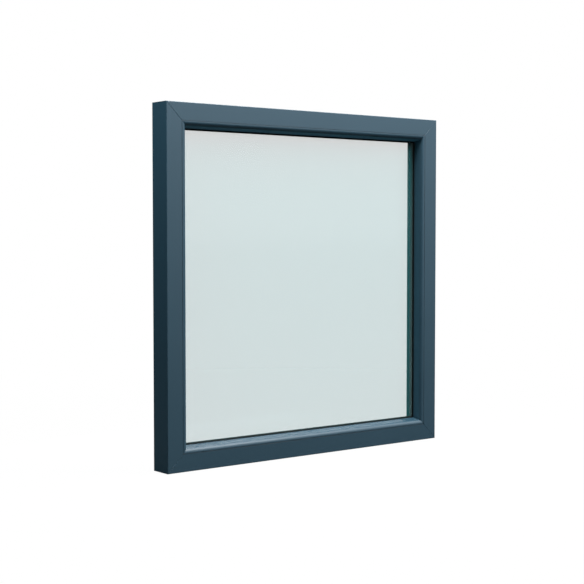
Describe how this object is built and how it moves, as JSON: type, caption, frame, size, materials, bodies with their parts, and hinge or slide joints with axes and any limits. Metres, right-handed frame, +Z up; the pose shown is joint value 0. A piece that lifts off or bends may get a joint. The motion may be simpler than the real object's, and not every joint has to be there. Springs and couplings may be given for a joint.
{
  "type": "fixed window",
  "caption": "Square fixed window: a mitred frame with a rounded reveal clamps a sealed glass unit between a weather gasket and clip-in beads, to close a wall opening.",
  "frame": {"origin": "bottom centre of the frame: mid width, mid depth, on the underside of the sill", "axes": "+X across the window to the right as seen from outside, +Y from the weather side into the room, +Z up"},
  "size_m": [1, 0.07, 1],
  "materials": {
    "frame_foil": "satin slate blue foil, very finely grained",
    "galvanised_steel": "zinc coated, spangled",
    "gasket_rubber": "matt black",
    "pane_glass": "clear float glass, pale green",
    "spacer_plastic": "matt dark grey",
    "edge_sealant": "matt black, trowelled",
    "block_plastic": "moulded, plain blue"
  },
  "bodies": {
    "root": {"frame_head": "frame_foil", "frame_sill": "frame_foil", "frame_jamb_left": "frame_foil", "frame_jamb_right": "frame_foil", "steel_head": "galvanised_steel", "steel_sill": "galvanised_steel", "steel_jamb_left": "galvanised_steel", "steel_jamb_right": "galvanised_steel", "weather_gasket_head": "gasket_rubber", "weather_gasket_sill": "gasket_rubber", "weather_gasket_jamb_left": "gasket_rubber", "weather_gasket_jamb_right": "gasket_rubber", "bead_head": "frame_foil", "bead_sill": "frame_foil", "bead_jamb_left": "frame_foil", "bead_jamb_right": "frame_foil", "bead_gasket_head": "gasket_rubber", "bead_gasket_sill": "gasket_rubber", "bead_gasket_jamb_left": "gasket_rubber", "bead_gasket_jamb_right": "gasket_rubber", "glazing_blocks_head": "block_plastic", "glazing_blocks_sill": "block_plastic", "glazing_blocks_jamb_left": "block_plastic", "glazing_blocks_jamb_right": "block_plastic", "outer_pane": "pane_glass", "inner_pane": "pane_glass", "spacer_bar": "spacer_plastic", "edge_seal": "edge_sealant"}
  },
  "joints": []
}
